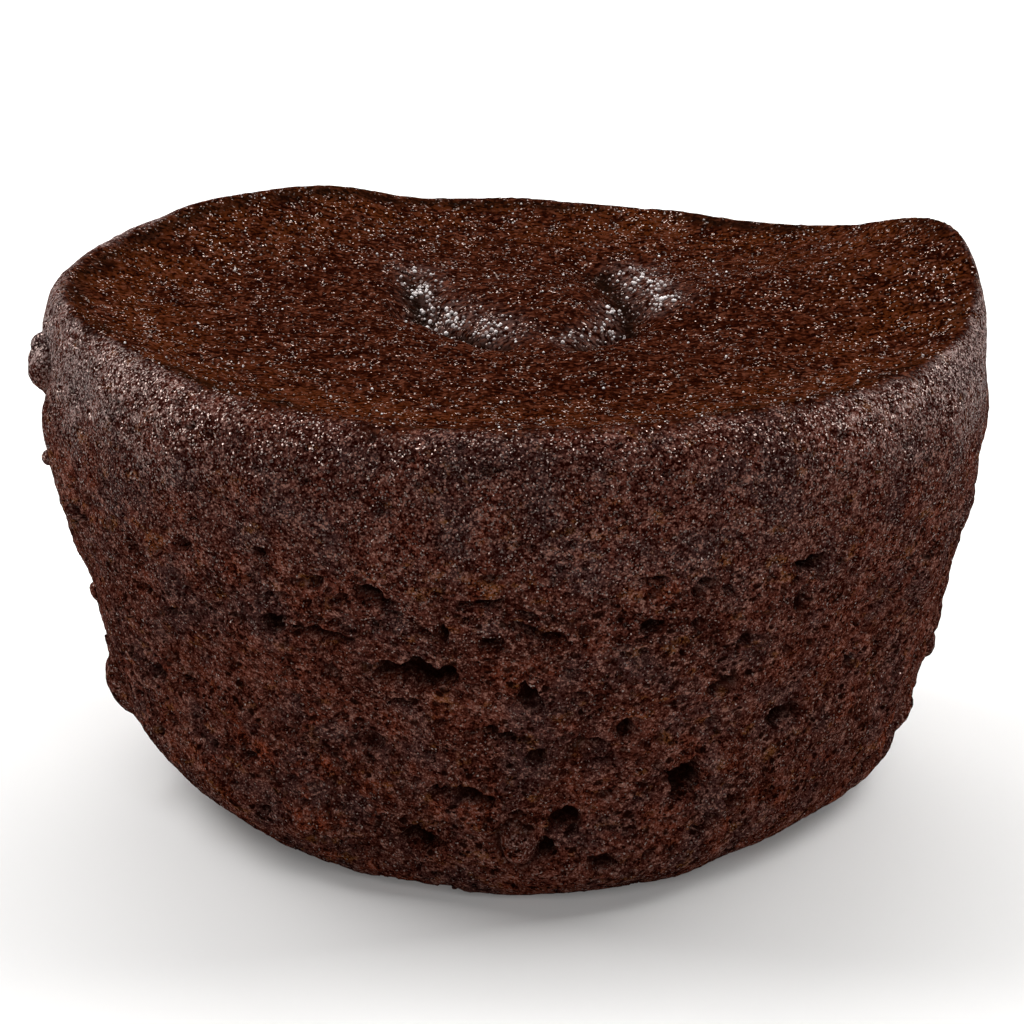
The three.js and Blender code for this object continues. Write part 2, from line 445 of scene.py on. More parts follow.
@dataclass
class Surface:
    """Every vertex of the brownie's skin, with what the relief needs to know about it."""

    azimuth: Array
    up: Array
    out: Array
    skin: dict[Skin, Array]
    points: Array

    @classmethod
    def from_cube(cls, corners: Array, form: BrownieForm) -> "Surface":
        """Bends a cube of side 2 to the form: floor, walls and lid become foot, wall and crust.

        Args:
            corners: The cube's vertices, one row each.
            form: The form to bend it to.

        Returns:
            The bent surface.
        """
        x, y, z = corners.T
        across = x * np.sqrt(1 - y**2 / 2)
        along = y * np.sqrt(1 - x**2 / 2)
        out = np.hypot(across, along)
        azimuth = np.degrees(np.arctan2(along, across)) % 360
        near_face = 1 - 1e-4
        crust = (z > near_face) & (out < near_face)
        foot = z < -near_face
        up = (z + 1) / 2
        wall_radius, wall_z = form.wall(azimuth, up)
        crust_radius, crust_z = form.crust(azimuth, out)
        radius = np.where(crust, crust_radius, np.where(foot, wall_radius * out, wall_radius))
        height = np.where(crust, crust_z, wall_z)
        cosine = np.cos(np.radians(azimuth))
        sine = np.sin(np.radians(azimuth))
        crag = form.crag(np.stack([radius * cosine, radius * sine, height], axis=1))
        towards_crust = smoothstep(0.7, 1.0, z)
        proud = np.where(crust | foot, 0.0, form.wall_crag * crag * (1 - towards_crust))
        raised = np.where(foot, 0.0, form.crust_crag * crag * towards_crust)
        points = np.stack([(radius + proud) * cosine, (radius + proud) * sine, height + raised], axis=1)
        skin = {Skin.FOOT: foot, Skin.WALL: ~crust & ~foot, Skin.CRUST: crust}
        return cls(azimuth, up, out, skin, points)

    @property
    def height(self) -> Array:
        """Gives each vertex's height."""
        return self.points[:, 2]

    def arc(self, radius: float) -> Array:
        """Gives each vertex's place round the wall, in millimetres at one radius."""
        return np.radians(self.azimuth) * radius


@dataclass(frozen=True)
class PoreLattice:
    """Pores of about one size, at most one in each cell of a lattice rolled round the wall."""

    wide: float
    tall: float
    share: float
    deep: float
    closed_share: float
    seed: int
    smallest: float = 0.45
    column_room: float = 1.6
    row_room: float = 1.7
    margin: float = 0.2
    most_tilt: float = 0.5

    def depth(self, arc: Array, height: Array, circumference: float, openness: Array) -> Array:
        """Works out how deep the pores are.

        Args:
            arc: Each place's distance round the wall.
            height: Each place's height.
            circumference: The distance all the way round.
            openness: How open the crumb is at each place, from 0 to 1.

        Returns:
            The depth at each place, 0 outside the pores.
        """
        share = self.share * (self.closed_share + (1 - self.closed_share) * openness)
        round_cells = int(circumference / (self.column_room * self.wide))
        column = arc / circumference * round_cells
        column_size = circumference / round_cells
        row_size = self.row_room * self.tall
        row = height / row_size
        roaming = 1 - 2 * self.margin
        deepest = np.zeros_like(arc)
        for step in np.ndindex(3, 3):
            cell_column = np.floor(column) + step[0] - 1
            cell_row = np.floor(row) + step[1] - 1
            cells = (cell_column % round_cells, cell_row)
            present, sized, aside, raised, tilted = (Hash.unit(cells, self.seed + draw) for draw in range(5))
            size = self.smallest + (1 - self.smallest) * sized**2
            along = (column - (cell_column + self.margin + roaming * aside)) * column_size
            upward = (row - (cell_row + self.margin + roaming * raised)) * row_size
            upward -= self.most_tilt * (tilted - 0.5) * along
            apart = (2 * along / (self.wide * size)) ** 2 + (2 * upward / (self.tall * size)) ** 2
            depth = self.deep * size * np.clip(1 - apart, 0, 1) ** PORE_STEEPNESS
            np.maximum(deepest, np.where(present < share, depth, 0), out=deepest)
        return deepest


@dataclass
class CrumbRelief:
    """What is carved into the brownie's skin: pores, cracks, strata, torn crumb and pebbles."""

    arc_radius: float = 22.0
    warps: tuple[Swell, Swell] = (Swell(1.1, 0.38, 11), Swell(0.45, 0.18, 13))
    warp_upward: float = 0.6
    open_below: float = 15.6
    closed_above: float = 17.6
    lumps: tuple[Lump, ...] = (
        Lump(187, 21.1, 1.4, 0.65),
        Lump(186, 22.0, 0.7, 0.45),
        Lump(188, 16.7, 0.5, 0.3),
        Lump(189, 10.0, 0.55, 0.3),
        Lump(189, 5.3, 2.3, 0.6),
        Lump(271, 3.6, 1.0, 0.6),
        Lump(350, 7.4, 0.9, 0.3),
        Lump(350, 3.9, 1.2, 0.35),
    )
    open_pores: tuple[Pore, ...] = tuple(
        Pore(*row)
        for row in (
            (188, 7.8, 1.9, 0.9, 0.8), (217, 15.3, 1.0, 0.8, 0.7), (228, 16.6, 0.9, 0.7, 0.6),
            (241, 13.7, 1.5, 1.0, 1.0), (247, 13.6, 2.6, 0.8, 0.9), (246, 16.1, 1.7, 0.6, 0.6),
            (255, 12.0, 3.2, 1.1, 1.0), (260, 12.2, 2.9, 1.3, 1.3), (262, 14.4, 0.8, 1.2, 0.8),
            (267, 16.0, 1.9, 0.6, 0.8), (268, 22.0, 0.6, 0.5, 0.4), (268, 14.0, 1.0, 0.8, 0.7),
            (274, 14.4, 1.5, 0.6, 0.7), (272, 11.4, 1.0, 0.9, 0.8), (256, 10.5, 1.5, 0.6, 0.6),
            (284, 9.3, 1.1, 1.0, 1.0), (273, 8.0, 1.0, 1.0, 0.8), (278, 8.6, 0.9, 0.8, 0.7),
            (286, 16.6, 1.4, 0.5, 0.6), (286, 14.6, 1.1, 0.7, 0.8), (291, 14.4, 0.9, 0.8, 0.7),
            (292, 16.5, 1.3, 0.6, 0.7), (299, 13.1, 1.2, 0.9, 0.9), (306, 14.1, 0.7, 1.9, 0.9),
            (309, 8.3, 2.9, 0.8, 0.8), (312, 6.2, 0.9, 0.9, 0.8), (293, 6.5, 2.4, 1.9, 1.5),
            (301, 4.6, 1.1, 0.6, 0.7), (297, 3.5, 0.9, 0.7, 0.6), (286, 4.2, 0.9, 0.5, 0.6),
            (264, 5.9, 3.4, 0.9, 1.0), (257, 3.2, 2.4, 0.8, 0.9), (274, 3.4, 0.7, 1.5, 1.1),
            (277, 4.8, 1.6, 1.4, 1.2), (251, 8.1, 2.4, 1.3, 0.5),
        )
    )
    scattered_count: int = 78
    scattered_heights: tuple[float, float] = (1.8, 16.8)
    scattered_wide: tuple[float, float] = (0.8, 1.7)
    scattered_tall: tuple[float, float] = (0.5, 0.9)
    scattered_deep: tuple[float, float] = (0.5, 0.9)
    scattered_clear: float = 1.8
    spread_step: Triple = (0.7548776662, 0.5698402910, 0.6180339887)
    lattices: tuple[PoreLattice, ...] = (
        PoreLattice(1.2, 0.55, 0.3, 0.7, 0.0, 101),
        PoreLattice(0.7, 0.4, 0.55, 0.5, 0.06, 211),
        PoreLattice(0.42, 0.34, 0.8, 0.35, 0.45, 307),
    )
    torn_patches: tuple[TornPatch, ...] = (TornPatch(233, 22, 9.5, 1.0), TornPatch(322, 16, 7.5, 0.45))
    torn_least: float = 0.25
    torn_depth: float = 0.3
    # Where the blisters crowd and the painted sheen and glints lie.
    glint_crowd_bands: tuple[Crease, ...] = (
        Crease((-4.8, 8.3), (-3.9, 2.8), 1.0, 0.9),
        Crease((-3.9, 2.8), (-0.4, -1.6), 1.3, 1.0),
        Crease((2.4, -3.4), (4.8, 0.3), 0.7, 0.8),
        Crease((4.8, 0.3), (5.0, 3.5), 0.7, 1.0),
        Crease((5.9, 10.5), (7.0, 5.0), 1.1, 1.0),
        Crease((7.0, 5.0), (7.5, 2.2), 1.0, 1.0),
    )
    gully_at: float = 1.12
    gully_width: float = 0.2
    gully_depth: float = 0.3
    crease_shade_reach: float = 0.55
    # Where the painted shadow line behind the front lip lies, and how wide it is.
    lip_shadow_inside: float = 0.5
    lip_shadow_reach: float = 0.45
    strata_depth: float = 0.10
    wall_grain_depth: float = 0.09
    wall_fine_depth: float = 0.035
    crest_grain_depth: float = 0.05
    crest_fine_depth: float = 0.03
    crust_pebble_depth: float = 0.05
    foot_pit_depth: float = 0.48
    pebble_middle: float = 0.6
    strata: tuple[Swell, Swell] = (Swell((5.0, 5.0, 0.9), 1.0, 23), Swell((2.2, 2.2, 0.5), 0.6, 29))
    fine: Swell = Swell(0.3, 1.0, 41)
    crust_swell: Swell = Swell(0.9, 0.04, 53)
    crust_edge: Swell = Swell(1.2, 0.02, 67)
    torn_edge: Swell = Swell(2.6, 1.2, 71)
    pore_edge: Swell = Swell(0.5, 0.6, 15)
    open_edge: Swell = Swell(3.0, 0.9, 17)
    open_patches: Swell = Swell(4.0, 0.5, 19)
    lump_swell: Swell = Swell(0.9, 0.35, 79)
    lump_grain: Swell = Swell(0.4, 0.12, 80)
    gully_edge: Swell = Swell(0.6, 0.25, 139)
    shoulder_edge: Swell = Swell(2.0, 1.2, 151)
    upper_wall_edge: Swell = Swell(2.4, 1.5, 107)
    lip_shadow_edge: Swell = Swell(0.7, 0.3, 113)

    def scattered_pores(self, band_radius: float) -> list[Pore]:
        """Lists the lesser pores that the solid has, each worked out from its number.

        Args:
            band_radius: The radius at which the clear space round an open pore is measured.

        Returns:
            The pores.
        """
        pores = []
        low, high = self.scattered_heights
        spans = (self.scattered_wide, self.scattered_tall, self.scattered_deep)
        for number in range(1, self.scattered_count + 1):
            turn, up, size = ((number * step) % 1 for step in self.spread_step)
            azimuth = 360 * turn
            height = low + (high - low) * up
            apart = (
                math.hypot(math.radians(azimuth - pore.azimuth) * band_radius, height - pore.height)
                for pore in self.open_pores
            )
            if min(apart) >= self.scattered_clear:
                pores.append(Pore(azimuth, height, *(a + (b - a) * size for a, b in spans)))
        return pores

    def torn(self, surface: Surface) -> Array:
        """Gives how torn the crumb is.

        Args:
            surface: The surface to carve.

        Returns:
            The share at each vertex.
        """
        ragged = surface.height + self.torn_edge.at(surface.points)
        torn = self.torn_least * smoothstep(10.0, 4.0, ragged)
        for patch in self.torn_patches:
            across = bell(turned_apart(surface.azimuth, patch.azimuth), patch.spread)
            torn += patch.strength * across * smoothstep(patch.top + 1.5, patch.top - 2.0, ragged)
        return np.clip(torn, 0, 1) * ~surface.skin[Skin.CRUST]

    def wall_pores(self, surface: Surface, form: BrownieForm) -> Array:
        """Works out how deep the wall's pores and cracks are.

        Args:
            surface: The surface to carve.
            form: The form it was bent to.

        Returns:
            The depth at each vertex.
        """
        points = surface.points
        arc = surface.arc(self.arc_radius)
        height = surface.height.copy()
        for warp in self.warps:
            arc = arc + warp.at(points)
            height = height + self.warp_upward * warp.reach * noise(points, warp.length, warp.seed + 100)
        ragged_edge = self.pore_edge.at(points)
        deepest = np.zeros_like(arc)
        for pore in [*self.open_pores, *self.scattered_pores(form.band_radius)]:
            aside = arc - math.radians(pore.azimuth) * self.arc_radius
            apart = (2 * aside / pore.wide) ** 2 + (2 * (height - pore.height) / pore.tall) ** 2
            depth = pore.deep * np.clip(1 - apart - ragged_edge * (apart < 2), 0, 1) ** PORE_STEEPNESS
            np.maximum(deepest, depth, out=deepest)
        openness = self.openness(surface) * (0.8 + self.open_patches.at(points))
        for lattice in self.lattices:
            depth = lattice.depth(arc, height, 2 * math.pi * self.arc_radius, openness)
            np.maximum(deepest, depth, out=deepest)
        return deepest * surface.skin[Skin.WALL] * smoothstep(1.0, 0.93, surface.up)

    def openness(self, surface: Surface) -> Array:
        """Gives how open the crumb is at each vertex: closed at the top of the wall, open below."""
        ragged = surface.height + self.open_edge.at(surface.points)
        return smoothstep(self.closed_above, self.open_below, ragged)

    def lump_relief(self, surface: Surface) -> Array:
        """Works out how far the lumps lift the skin.

        Args:
            surface: The surface to carve.

        Returns:
            The lift at each vertex.
        """
        lift = np.zeros_like(surface.azimuth)
        rough = 1 + self.lump_swell.at(surface.points) + self.lump_grain.at(surface.points)
        for lump in self.lumps:
            aside = surface.arc(self.arc_radius) - math.radians(lump.azimuth) * self.arc_radius
            apart = (aside**2 + (surface.height - lump.height) ** 2) * rough
            ball = np.sqrt(np.clip(lump.radius**2 - apart, 0, None)) - (lump.radius - lump.proud)
            np.maximum(lift, ball, out=lift)
        return lift

    def gully(self, surface: Surface) -> Array:
        """Gives the broken crevice that runs round each lump.

        Args:
            surface: The surface to carve.

        Returns:
            Its strength at each vertex, from 0 to 1.
        """
        height = surface.height + self.gully_edge.at(surface.points)
        gully = np.zeros_like(height)
        for lump in self.lumps:
            aside = surface.arc(self.arc_radius) - math.radians(lump.azimuth) * self.arc_radius
            apart = np.hypot(aside, height - lump.height) / lump.radius
            np.maximum(gully, bell(apart - self.gully_at, self.gully_width), out=gully)
        return gully * smoothstep(-0.7, -0.1, noise(surface.points, 1.4, 149)) * surface.skin[Skin.WALL]

    def carve(self, surface: Surface, form: BrownieForm) -> tuple[Array, dict[str, Array]]:
        """Works out the whole relief.

        Args:
            surface: The surface to carve.
            form: The form it was bent to.

        Returns:
            How far to move each vertex along its normal, and the masks that the finish reads.
        """
        points = surface.points
        foot, wall, crust = (surface.skin[skin].astype(float) for skin in Skin)
        near_crest = smoothstep(0.86, 1.0, surface.up) * wall
        pores = self.wall_pores(surface, form)
        torn = self.torn(surface)
        strata = self.strata[0].at(points) + self.strata[1].at(points)
        lower = smoothstep(self.closed_above, self.open_below, surface.height)
        grain = pebbles(points, 0.62, 37) - self.pebble_middle
        fine = self.fine.at(points)
        clods = pebbles(points, 1.5, 43) - self.pebble_middle
        crumb = self.strata_depth * lower * strata
        crumb = crumb + self.wall_grain_depth * grain + self.wall_fine_depth * fine
        relief = wall * (1 - near_crest) * crumb
        relief += near_crest * (self.crest_grain_depth * grain + self.crest_fine_depth * fine)
        relief += torn * self.torn_depth * clods
        crust_grain = pebbles(points, 0.5, 59) - self.pebble_middle
        relief += crust * (self.crust_swell.at(points) + self.crust_pebble_depth * crust_grain)
        gully = self.gully(surface)
        lumps = self.lump_relief(surface) * wall
        relief += lumps
        relief -= np.maximum(pores, gully * self.gully_depth)
        relief -= foot * self.foot_pit_depth * np.clip(pebbles(points, 0.9, 61) - 0.75, 0, None)
        deepest = np.maximum(smoothstep(0.1, 0.75, pores), 0.85 * gully)
        opened = self.openness(surface)
        shoulder = smoothstep(18.5, 22.5, surface.height + self.shoulder_edge.at(points))
        flank = smoothstep(0.45, 0.95, np.abs(np.cos(np.radians(surface.azimuth))))
        over_crest = smoothstep(0.955, 1.0, surface.up + self.crust_edge.at(points))
        masks = {
            # Painted shade: darker in deep pores, in the gully round each lump and between torn clods.
            "pore_shade": np.maximum(deepest, np.clip(-1.5 * clods * torn, 0, 1)),
            "crease_shade": self.crease_shade(surface, form),
            "torn": torn,
            "open": opened * wall,
            "fringe": 4 * opened * (1 - opened) * wall,
            # Painted sheen: lighter and greyer on the shoulder's left and right flanks and on the lumps'
            # tops.
            "side_sheen": np.maximum(shoulder * flank, 0.25 * np.clip(4 * lumps, 0, 1)) * wall,
            "glint_crowd": self.glint_crowd(surface),
            "lip": smoothstep(0.55, 0.9, surface.out) * crust,
            "bubbly": crust,
            # Rises towards the top of the wall, where the finish makes the crumb darker, more plum and more
            # glinting.
            "upper_wall": smoothstep(11.0, 22.0, surface.height + self.upper_wall_edge.at(points)) * wall,
            "crust": np.maximum(crust, over_crest * wall),
        }
        return relief, masks

    def crease_shade(self, surface: Surface, form: BrownieForm) -> Array:
        """Gives the painted shade in the crust's creases and the painted shadow line behind the front lip.

        Args:
            surface: The surface to carve.
            form: The form it was bent to.

        Returns:
            The darkness at each vertex, from 0 to 1.
        """
        x, y, _ = surface.points.T
        ragged = self.lip_shadow_edge.at(surface.points)
        nearest = np.min([crease.distance(x, y) for crease in form.creases], axis=0)
        creased = bell(nearest + ragged, self.crease_shade_reach)
        # Painted shadow: a dark, broken line just inside the crest, where the crust dips behind the
        # shoulder.
        crest_radius, _ = form.wall(surface.azimuth, np.ones(len(x)))
        inside = crest_radius - np.hypot(x, y) + ragged
        lip_shadow = bell(inside - self.lip_shadow_inside, self.lip_shadow_reach)
        broken = smoothstep(-0.5, 0.3, noise(surface.points, 3.5, 127))
        return np.maximum(0.9 * creased, 0.8 * lip_shadow * broken) * surface.skin[Skin.CRUST]

    def glint_crowd(self, surface: Surface) -> Array:
        """Gives where the blisters crowd and the painted sheen and glints lie: on the slopes behind the
        creases.

        Args:
            surface: The surface to carve.

        Returns:
            Their thickness at each vertex, from 0 to 1.
        """
        x, y, _ = surface.points.T
        bands = [band.depth * bell(band.distance(x, y), band.spread) for band in self.glint_crowd_bands]
        patchy = 0.6 + 0.4 * smoothstep(-0.5, 0.3, noise(surface.points, 1.1, 73))
        return np.max(bands, axis=0) * patchy * surface.skin[Skin.CRUST]


class Value:
    """A shader socket that holds a number, so that Python's arithmetic adds Math nodes."""

    def __init__(self, graph: "Graph", socket: Socket) -> None:
        """Wraps a socket of a graph."""
        self.graph = graph
        self.socket = socket

    def __add__(self, other: Union["Value", Number]) -> "Value":
        """Adds."""
        return self.graph.maths("ADD", self, other)

    __radd__ = __add__

    def __mul__(self, other: Union["Value", Number]) -> "Value":
        """Multiplies."""
        return self.graph.maths("MULTIPLY", self, other)

    __rmul__ = __mul__

    def __sub__(self, other: Union["Value", Number]) -> "Value":
        """Subtracts."""
        return self.graph.maths("SUBTRACT", self, other)

    def __rsub__(self, other: Number) -> "Value":
        """Subtracts this value from a number."""
        return self.graph.maths("SUBTRACT", other, self)

    def clamped(self) -> "Value":
        """Holds this value between 0 and 1."""
        return self.graph.maths("ADD", self, 0.0, clamp=True)

    def rising(self, low: float, high: float) -> "Value":
        """Rises smoothly from 0 where this value is low to 1 where it is high."""
        sockets = {"Value": self, "From Min": low, "From Max": high}
        return self.graph.value("ShaderNodeMapRange", {"interpolation_type": "SMOOTHSTEP"}, sockets)


Input = Union[Value, Socket, Number, Sequence[float]]
Sockets = Mapping[Union[str, int], Input]
Tint = Union[Socket, Colour]


class Graph:
    """The node tree of one material."""

    def __init__(self, name: str) -> None:
        """Makes an empty material.

        Args:
            name: The material's name.
        """
        self.material = bpy.data.materials.new(name)
        self.material.use_nodes = True
        self.tree = self.material.node_tree
        self.tree.nodes.clear()
        self.place = self.node("ShaderNodeTexCoord", {}, {}).outputs["Object"]

    def node(self, kind: str, settings: Mapping[str, Any], sockets: Sockets) -> bpy.types.Node:
        """Adds a node.

        Args:
            kind: The node's type.
            settings: Its settings, set first.
            sockets: The values or links of its inputs, by name or number.

        Returns:
            The node.
        """
        made = self.tree.nodes.new(kind)
        for name, setting in settings.items():
            setattr(made, name, setting)
        for name, given in sockets.items():
            target = made.inputs[name]
            source = given.socket if isinstance(given, Value) else given
            if isinstance(source, Socket):
                self.tree.links.new(source, target)
            else:
                target.default_value = source
        return made

    def value(self, kind: str, settings: Mapping[str, Any], sockets: Sockets) -> Value:
        """Adds a node and gives its first output as a number."""
        return Value(self, self.node(kind, settings, sockets).outputs[0])

    def maths(self, operation: str, *inputs: Union[Value, Number], clamp: bool = False) -> Value:
        """Adds a Math node, whose result may be held between 0 and 1."""
        settings = {"operation": operation, "use_clamp": clamp}
        return self.value("ShaderNodeMath", settings, dict(enumerate(inputs)))

    def vectors(self, operation: str, sockets: Sockets) -> Socket:
        """Adds a Vector Math node."""
        return self.node("ShaderNodeVectorMath", {"operation": operation}, sockets).outputs[0]

    def moved(self, by: Triple, stretch: Triple = (1, 1, 1)) -> Socket:
        """Moves the object's own coordinates, in metres, and stretches them."""
        sockets = {"Vector": self.place, "Location": by, "Scale": stretch}
        return self.node("ShaderNodeMapping", {}, sockets).outputs[0]

    def noise_sockets(self, size: float, place: Union[Socket, None], detail: float) -> dict[str, Input]:
        """Gives the inputs of a noise whose swells are this many millimetres across."""
        return {"Vector": place or self.place, "Scale": 1 / (size * METRES), "Detail": detail}

    def grain(self, size: float, detail: float, rough: float, place: Union[Socket, None] = None) -> Value:
        """Adds cloudy noise of about 0.2 to 0.8, with this many finer layers of this strength."""
        sockets = {**self.noise_sockets(size, place, detail), "Roughness": rough}
        return self.value("ShaderNodeTexNoise", {}, sockets)

    def cells(self, size: float, place: Union[Socket, None] = None) -> bpy.types.Node:
        """Adds a pattern of cells, this many millimetres across."""
        sockets = {"Vector": place or self.place, "Scale": 1 / (size * METRES)}
        return self.node("ShaderNodeTexVoronoi", {}, sockets)

    def specks(self, size: float, place: Union[Socket, None] = None) -> tuple[Value, Value]:
        """Gives each cell's own random number, and how far each place is from its cell's middle."""
        made = self.cells(size, place)
        return self.split(made.outputs["Color"], 0), Value(self, made.outputs["Distance"])

    def warped(self, size: float, reach: float, place: Socket) -> Socket:
        """Pushes coordinates about by cloudy noise.

        Args:
            size: The size of the noise's swells, in millimetres.
            reach: How far it pushes, in millimetres.
            place: The coordinates to push.

        Returns:
            The pushed coordinates.
        """
        cloud = self.node("ShaderNodeTexNoise", {}, self.noise_sockets(size, place, 1.0)).outputs[1]
        centred = self.vectors("SUBTRACT", {0: cloud, 1: HALF})
        return self.vectors("MULTIPLY_ADD", {0: centred, 1: (2 * reach * METRES,) * 3, 2: place})

    def hollows(self, size: float, reach: float, place: Socket) -> Value:
        """Adds pores, 0 outside to 1 inside: balls in cells of this size, cut at any depth."""
        return Value(self, self.cells(size, place).outputs["Distance"]).rising(reach, 0.5 * reach)

    def mask(self, name: str) -> Value:
        """Reads a mask that the mesh carries on its vertices."""
        return Value(self, self.node("ShaderNodeAttribute", {"attribute_name": name}, {}).outputs["Fac"])

    def mix(self, share: Union[Value, Number], first: Tint, second: Tint) -> Socket:
        """Mixes two colours by the share of the second."""
        settings = {"data_type": "RGBA", "clamp_factor": True}
        return self.node("ShaderNodeMix", settings, {0: share, 6: first, 7: second}).outputs[2]

    def split(self, colour: Socket, channel: int) -> Value:
        """Takes one channel of a colour as a number."""
        return Value(self, self.node("ShaderNodeSeparateColor", {}, {0: colour}).outputs[channel])

    def facets(self, normal: Socket, cells: Socket, tilt: Value) -> Socket:
        """Tilts each cell of a pattern its own way, as crystals lie.

        Args:
            normal: The normal to tilt.
            cells: The cells' random colours.
            tilt: How far a cell may tilt, as a share of the normal's length.

        Returns:
            The tilted normal.
        """
        centred = self.vectors("SUBTRACT", {0: cells, 1: HALF})
        leaning = self.vectors("SCALE", {0: centred, "Scale": tilt})
        tilted = self.vectors("ADD", {0: normal, 1: leaning})
        return self.vectors("NORMALIZE", {0: tilted})

    def bump(self, height: Value, depth: float) -> Socket:
        """Adds a bump that is this many millimetres deep where its height is 1."""
        sockets = {"Height": height, "Distance": depth * METRES, "Strength": 1.0}
        return self.node("ShaderNodeBump", {}, sockets).outputs[0]

    def shader(self, sockets: Sockets) -> Socket:
        """Adds a surface shader with these values and links, by socket name."""
        return self.node("ShaderNodeBsdfPrincipled", {}, sockets).outputs[0]

    def blend(self, share: Value, first: Socket, second: Socket) -> Socket:
        """Mixes two shaders by the share of the second."""
        return self.node("ShaderNodeMixShader", {}, {0: share, 1: first, 2: second}).outputs[0]

    def finish(self, shader: Socket) -> bpy.types.Material:
        """Makes a shader the material's surface and gives the material."""
        self.node("ShaderNodeOutputMaterial", {}, {"Surface": shader})
        return self.material


@dataclass(frozen=True)
class Grains:
    """The nodes that the crumb and the crust share."""

    graph: Graph
    cloud: Value
    shade: Value
    flakes: bpy.types.Node
    normal: Socket


@dataclass(frozen=True)
class BakedCrumb:
    """The brownie's finish: granular crumb on the wall and a dark crust with fine glints."""

    name: str = "baked_crumb"
    wall_shadow: Colour = srgb(30, 5, 2)
    wall_brown: Colour = srgb(84, 42, 32)
    wall_dark: Colour = srgb(62, 30, 23)
    wall_light: Colour = srgb(130, 92, 81)
    # The painted sheen's pale grey for the shoulder's flanks.
    side_sheen_light: Colour = srgb(176, 156, 152)
    plum: Colour = srgb(60, 40, 38)
    ochre: Colour = srgb(118, 72, 32)
    rust: Colour = srgb(122, 54, 32)
    crust_shadow: Colour = srgb(18, 3, 1)
    crust_brown: Colour = srgb(47, 16, 6)
    crust_dark: Colour = srgb(29, 7, 3)
    crust_light: Colour = srgb(76, 40, 27)
    lip: Colour = srgb(66, 28, 8)
    sheen: Colour = srgb(112, 88, 82)
    # Painted shade: the near-black in the crust's creases and the shadow line behind the front lip.
    crease_shade: Colour = srgb(14, 6, 3)
    # Painted shade: the near-black that fills pores and hollows.
    pore: Colour = srgb(16, 3, 1)
    wall_facet: Colour = srgb(122, 106, 100)
    crust_facet: Colour = srgb(186, 163, 154)
    wall_roughness: float = 0.8
    crust_roughness: float = 0.7
    cloud_size: float = 0.3
    cloud_strength: float = 1.5
    swell_size: float = 1.2
    swell_strength: float = 0.7
    flake_size: float = 0.066
    bump_depth: float = 0.15
    crumb_size: float = 0.085
    pebble_size: float = 0.17
    gap_middle: float = 0.45
    wall_tone: float = 0.4
    crust_tone: float = 0.39
    pore_shade_strength: float = 0.93
    lip_strength: float = 0.8
    sheen_strength: float = 0.45
    facet_rarity: float = 0.955
    facet_sharpness: float = 30.0
    facet_tilt: float = 0.9
    facet_smoothest: float = 0.22
    facet_spread: float = 0.2
    small_pore_size: float = 0.34
    small_pore_reach: float = 0.35
    large_pore_size: float = 0.7
    large_pore_reach: float = 0.38

    def material(self) -> bpy.types.Material:
        """Builds the material.

        Returns:
            The material: the crumb's shader and the crust's, mixed at the crest.
        """
        graph = Graph(self.name)
        cloud = graph.grain(self.cloud_size, 2, 0.6)
        swell = graph.grain(self.swell_size, 2, 0.5, graph.moved((0.81, 0.77, 0.73), (1, 1, 1.4)))
        shade = (cloud - 0.5) * self.cloud_strength + (swell - 0.5) * self.swell_strength
        flakes = graph.cells(self.flake_size, graph.moved((0.41, 0.37, 0.33)))
        grains = Grains(graph, cloud, shade, flakes, graph.bump(cloud, self.bump_depth))
        return graph.finish(graph.blend(graph.mask("crust"), self._wall(grains), self._crust(grains)))

    def _wall(self, grains: Grains) -> Socket:
        """Builds the crumb's shader.

        Args:
            grains: The nodes that crumb and crust share.

        Returns:
            The shader's socket.
        """
        graph = grains.graph
        upper_wall = graph.mask("upper_wall")
        side_sheen = graph.mask("side_sheen")
        chance, gap = graph.specks(self.crumb_size)
        tone = self.wall_tone + (chance - 0.5) * (0.6 + upper_wall * 0.3) + grains.shade * 1.05
        # Painted shade: darker in the gaps between grains.
        tone = tone - (gap - self.gap_middle) * 0.4 - upper_wall * 0.06 + side_sheen * 0.12
        # Painted sheen on the shoulder's flanks and the lumps lifts the tone above, greys the light tone
        # here and adds facets below.
        light = graph.mix(side_sheen * 0.7, self.wall_light, self.side_sheen_light)
        skin = self._three_tones(graph, tone, (self.wall_shadow, self._wall_colour(graph), light))
        # Painted shade: pores, gullies, gaps between torn clods and pits darken towards the pore colour.
        hollow_shade = graph.maths("MAXIMUM", graph.mask("pore_shade"), self._pit_shade(graph))
        skin = graph.mix(hollow_shade * self.pore_shade_strength, skin, self.pore)
        more = upper_wall * 0.055 + side_sheen * 0.12
        return self._glinting(grains, skin, self.wall_facet, self.wall_roughness, more, 1.0 - hollow_shade)

    def _crust(self, grains: Grains) -> Socket:
        """Builds the crust's shader.

        Args:
            grains: The nodes that crumb and crust share.

        Returns:
            The shader's socket.
        """
        graph = grains.graph
        chance, gap = graph.specks(self.pebble_size, graph.moved((0.71, 0.67, 0.63)))
        # Painted shade: darker in the gaps between the crust's pebbles.
        tone = self.crust_tone + (chance - 0.5) * 0.9 + grains.shade - (gap - self.gap_middle) * 0.3
        colour = graph.mix(graph.grain(1.3, 4, 0.7).rising(0.35, 0.65), self.crust_dark, self.crust_brown)
        patchy = graph.grain(2.2, 2, 0.6, graph.moved((0.61, 0.57, 0.53))).rising(0.35, 0.6)
        colour = graph.mix(graph.mask("lip") * patchy * self.lip_strength, colour, self.lip)
        skin = self._three_tones(graph, tone, (self.crust_shadow, colour, self.crust_light))
        # Painted sheen: a pale haze on the slopes behind the creases.
        sheen = graph.mask("glint_crowd") * grains.cloud.rising(0.4, 0.6) * self.sheen_strength
